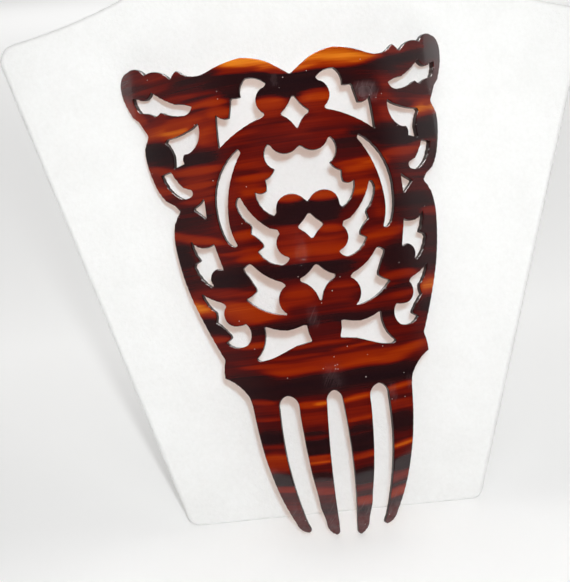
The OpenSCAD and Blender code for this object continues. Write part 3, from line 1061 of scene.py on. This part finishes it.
# A noise is its cells per metre, across and up the sheet or one for all ways, its detail and
# its roughness. A span is of a noise, of the rim's 0 to 1 from the flat face to the wall, or
# of a cell's width.
shellFinish = {
    "refraction": 1.49,
    "sway": ((14, 26, 1), 1.0, 0.5),
    "swayBy": 0.5,
    "streakScale": (13, 420, 1),
    "streak": (1.0, 2.0, 0.5),
    "streakSpread": 0.25,
    "fine": ((2.4, 3.1, 1), 3.0, 0.6),      # its cells are per streak
    "fineSpread": 0.26,
    "patch": ((420, 300, 1), 3.0, 0.6),
    "patchSpan": (0.35, 0.65),
    "patchVeil": (0.10, 0.45),
    "scratchSlant": 0.5,                    # radians
    "scratch": ((1500, 110, 1), 2.0, 0.5),
    "scratchSpan": (0.58, 0.68),
    "scratchVeil": 0.6,
    # the colour of the rubbed places, also painted on the teeth tips as a reflection of the table
    "wornAndReflectionColour": (0.130, 0.082, 0.084, 1),
    "speckCells": 1100,                     # per metre
    "cleanCells": 0.998,                    # the share of them without a speck
    "speckSpan": (0.10, 0.24),
    "speckVeil": 0.75,
    "dustColour": (0.55, 0.50, 0.47, 1),
    # the cut walls and the edges of the rims go near black: partly their own dark, partly painted
    # shade
    "wallSpan": (0.40, 1.0),
    "wallVeil": 0.93,
    "wallAndRimShadeColour": (0.010, 0.0035, 0.0035, 1),
    "smear": ((60, 60, 1), 3.0, 0.6),
    "smearSpan": (0.3, 0.75),
    "roughness": (0.07, 0.19),
    "wornRoughness": 0.12,
    "sawnSpan": (0.9, 1.0),
    "sawnRoughness": 0.22,
    "ripple": ((90, 140, 1), 2.0, 0.5),
    "saw": (1300, 2.0, 0.6),
    "sawSpan": (0.5, 1.0),
    "sawDepth": 0.35,
    "bump": {"Strength": 0.12, "Distance": 0.0004},
    "shadowTint": (0.74, 0.62, 0.555, 1),
}


def sheetNoise(tree, sheet, cells, detail, roughness):
    return noise(tree, scaled(tree, sheet, cells), 1.0, detail, roughness)


def fromMesh(tree, name):
    return put(tree, "ShaderNodeAttribute", out="Fac", attribute_name=name)


# The charted streaks, with finer ones and a grain laid over them
def shellColour(tree, sheet):
    finish = shellFinish
    sway = sheetNoise(tree, sheet, *finish["sway"])
    rise = put(tree, "ShaderNodeCombineXYZ", {"Y": calc(tree, "MULTIPLY", sway, finish["swayBy"])})
    swayed = put(tree, "ShaderNodeVectorMath",
                 {0: scaled(tree, sheet, finish["streakScale"]), 1: rise}, operation="ADD")
    streak = noise(tree, swayed, *finish["streak"])
    fine = sheetNoise(tree, swayed, *finish["fine"])
    tone = fromMesh(tree, "tone")
    for grain, spread in ((streak, finish["streakSpread"]), (fine, finish["fineSpread"])):
        aside = calc(tree, "SUBTRACT", grain, 0.5)
        tone = calc(tree, "ADD", tone, calc(tree, "MULTIPLY", aside, spread))
    return ramp(tree, tone, shellColours)


# Rubbed places, and the painted reflection on the teeth tips: a greyish veil in patches, and
# scratches
def rubbedAndTipReflection(tree, sheet, wearAndPaintedReflection, colour):
    finish = shellFinish
    patchy = sheetNoise(tree, sheet, *finish["patch"])
    patchy = remap(tree, patchy, finish["patchSpan"], *finish["patchVeil"])
    colour = blend(tree, calc(tree, "MULTIPLY", wearAndPaintedReflection, patchy), colour, finish["wornAndReflectionColour"])
    slanted = put(tree, "ShaderNodeVectorRotate",
                  {"Vector": sheet, "Angle": finish["scratchSlant"]}, rotation_type="Z_AXIS")
    scratch = sheetNoise(tree, slanted, *finish["scratch"])
    scratch = remap(tree, scratch, finish["scratchSpan"], 0.0, finish["scratchVeil"])
    return blend(tree, calc(tree, "MULTIPLY", scratch, wearAndPaintedReflection), colour, finish["wornAndReflectionColour"])


# Specks of dust: spots in single cells, more of them in the dusty places
def dusted(tree, sheet, colour):
    finish = shellFinish
    cells = tree.nodes.new("ShaderNodeTexVoronoi")
    cells.voronoi_dimensions = "2D"
    cells.inputs["Scale"].default_value = finish["speckCells"]
    tree.links.new(sheet, cells.inputs["Vector"])
    chance = put(tree, "ShaderNodeSeparateColor", {0: cells.outputs["Color"]})
    limit = calc(tree, "SUBTRACT", finish["cleanCells"], fromMesh(tree, "dust"))
    rare = calc(tree, "GREATER_THAN", chance, limit)
    small = remap(tree, cells.outputs["Distance"], finish["speckSpan"], finish["speckVeil"], 0.0)
    return blend(tree, calc(tree, "MULTIPLY", rare, small), colour, finish["dustColour"])


def shellRoughness(tree, sheet, wearAndPaintedReflection, rim):
    finish = shellFinish
    smear = sheetNoise(tree, sheet, *finish["smear"])
    rough = remap(tree, smear, finish["smearSpan"], *finish["roughness"])
    rough = calc(tree, "ADD", rough, calc(tree, "MULTIPLY", wearAndPaintedReflection, finish["wornRoughness"]))
    sawn = remap(tree, rim, finish["sawnSpan"], 0.0, finish["sawnRoughness"])
    return calc(tree, "ADD", rough, sawn)


# Gentle ripples in the sheet, and saw marks on the walls of the cuts
def shellBump(tree, sheet, rim):
    finish = shellFinish
    ripple = sheetNoise(tree, sheet, *finish["ripple"])
    place = put(tree, "ShaderNodeTexCoord", out="Object")
    depth = calc(tree, "MULTIPLY", remap(tree, rim, finish["sawSpan"], *zeroToOne),
                 finish["sawDepth"])
    sawn = calc(tree, "MULTIPLY", noise(tree, place, *finish["saw"]), depth)
    return put(tree, "ShaderNodeBump",
               {"Height": calc(tree, "ADD", ripple, sawn), **finish["bump"]})


# Light that passes the thin shell warms its shadow
def warmShadow(tree, shader, output):
    shadow = put(tree, "ShaderNodeLightPath", out="Is Shadow Ray")
    clear = put(tree, "ShaderNodeBsdfTransparent", {"Color": shellFinish["shadowTint"]})
    mixed = put(tree, "ShaderNodeMixShader", {0: shadow, 1: shader.outputs[0], 2: clear})
    tree.links.new(mixed, output.inputs[0])


def shellMaterial():
    material, tree, shader, output = newMaterial("tortoiseshell")
    sheet = put(tree, "ShaderNodeUVMap", uv_map="sheet")
    # the wear attribute also holds a painted reflection of the table on the teeth tips
    rim, wearAndPaintedReflection = fromMesh(tree, "rim"), fromMesh(tree, "wearAndTipReflection")
    colour = dusted(tree, sheet, rubbedAndTipReflection(tree, sheet, wearAndPaintedReflection, shellColour(tree, sheet)))
    # walls and rim edges turn near black, partly painted shade along the openings
    wall = remap(tree, rim, shellFinish["wallSpan"], 0.0, shellFinish["wallVeil"], smooth=True)
    fill(tree, shader, {
        "Base Color": blend(tree, wall, colour, shellFinish["wallAndRimShadeColour"]),
        "Roughness": shellRoughness(tree, sheet, wearAndPaintedReflection, rim),
        "Normal": shellBump(tree, sheet, rim), "IOR": shellFinish["refraction"]})
    warmShadow(tree, shader, output)
    return material


def makeComb():
    flat = cutSheet("combFlatMesh", flatOutlines("comb", unbendComb), combLook)
    places = vertexRows(flat)
    across, up = places[:, 0] / mm, places[:, 2] / mm
    charts = {"tone": chartedTone(across, up), "wearAndTipReflection": chartedPlaces(across, up, wornAndReflectionPlaces),
              "dust": chartedPlaces(across, up, dustPlaces)}
    for name, values in charts.items():
        attribute = flat.attributes.new(name, "FLOAT", "POINT")
        attribute.data.foreach_set("value", values)
    corner = np.empty(len(flat.loops), int)
    flat.loops.foreach_get("vertex_index", corner)
    sheet = flat.uv_layers.new(name="sheet")
    sheet.data.foreach_set("uv", places[corner][:, (0, 2)].ravel())
    material = shellMaterial()
    mesh = bentMesh(flat, material)
    normals = vertexRows(mesh, "bentNormal")
    for name in ("bentNormal", "flatNormal"):
        mesh.attributes.remove(mesh.attributes[name])
    mesh.normals_split_custom_set_from_vertices(normals.tolist())
    addPiece("combShell", mesh, material, "comb")


makeComb()

# The bust is a board covered in velvet, and its leg a card with the same cover. Both stand
# on the table and lean. Lengths are millimetres, angles degrees.
boardLook = {
    "merge": 0.1,
    "corner": 40.0,
    "fine": 0.5,
    "straight": 9.0,
    "nearEnd": 0.8,
    "inner": (6.0, 5.0),
}
bustLook = {
    **boardLook,
    "thickness": 6.0,
    "lean": -20.0,
    "turn": 0.0,
    "rim": 2.3,
    "rimSteps": (20, 42, 65, 90),
    "fillet": 1.0,
    "filletSteps": (0.25, 0.5, 0.75),
    "spacing": 2.2,
}
legLook = {
    **boardLook,
    "thickness": 3.0,
    "lean": 18.0,
    "turn": 180.0,
    "rim": 1.1,
    "rimSteps": (30, 60, 90),
    "fillet": 2.5,
    "filletSteps": (0.2, 0.4, 0.6, 0.8),
    "spacing": 2.0,
}
footHeight = 0.014    # metres up the sheet, over which the level cut fades out

# A noise is its cells per metre, detail and roughness
velvetFinish = {
    "cloud": (60, 4.0, 0.6),
    "pile": (620, 3.0, 0.65),
    "fine": (1900, 2.0, 0.6),
    "cloudShare": 0.5,
    "pileShare": 0.5,
    "whites": [
        (0.30, (0.825, 0.823, 0.808)),
        (0.50, (0.860, 0.858, 0.845)),
        (0.70, (0.890, 0.890, 0.880)),
    ],
    "pileSpan": (0.2, 0.8),
    "roughness": (0.82, 1.0),
    "specular": 0.2,
    "sheen": 0.35,
    "sheenRoughness": 0.45,
    "pileHeight": 0.65,
    "fineHeight": 0.35,
    "bump": {"Strength": 0.55, "Distance": 0.0006},
}


def velvetMaterial():
    finish = velvetFinish
    material, tree, shader, _ = newMaterial("whiteVelvet")
    place = put(tree, "ShaderNodeTexCoord", out="Object")
    cloud, pile, fine = (noise(tree, place, *finish[name]) for name in ("cloud", "pile", "fine"))
    tone = weighted(tree, cloud, finish["cloudShare"], pile, finish["pileShare"])
    height = weighted(tree, pile, finish["pileHeight"], fine, finish["fineHeight"])
    rough = remap(tree, pile, finish["pileSpan"], *finish["roughness"])
    bump = put(tree, "ShaderNodeBump", {"Height": height, **finish["bump"]})
    fill(tree, shader, {
        "Base Color": ramp(tree, tone, finish["whites"]), "Roughness": rough, "Normal": bump,
        "Specular IOR Level": finish["specular"], "Sheen Weight": finish["sheen"],
        "Sheen Roughness": finish["sheenRoughness"]})
    return material


velvet = velvetMaterial()


def makeBoard(pieceName, node, look, foot):
    stand = (Matrix.Translation(foot) @ Matrix.Rotation(math.radians(look["lean"]), 4, "X")
             @ Matrix.Rotation(math.radians(look["turn"]), 4, "Z"))
    away = np.array(stand.inverted())

    def layFlat(places):
        return places @ away[:3, :3].T + away[:3, 3] / mm

    mesh = cutSheet(pieceName + "Mesh", flatOutlines(node, layFlat), look)
    places, normals = vertexRows(mesh), vertexRows(mesh, "flatNormal")
    # the foot is cut level, so it slides along the lean there
    level = math.tan(math.radians(-look["lean"]))
    if look["turn"]:
        level = -level
    near = np.clip(1 - places[:, 2] / footHeight, 0, 1)
    places[:, 2] += places[:, 1] * level * near
    mesh.vertices.foreach_set("co", places.ravel())
    mesh.transform(stand)
    mesh.attributes.remove(mesh.attributes["flatNormal"])
    turned = np.array(stand)[:3, :3]
    mesh.normals_split_custom_set_from_vertices((normals @ turned.T).tolist())
    addPiece(pieceName, mesh, velvet, node)


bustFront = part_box("neck_bust")[0].y
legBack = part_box("easel_leg")[1].y
makeBoard("velvetBust", "neck_bust", bustLook, Vector((0, bustFront, 0)))
makeBoard("velvetLeg", "easel_leg", legLook, Vector((0, legBack, 0)))
print("bust and leg ready")

print("done")
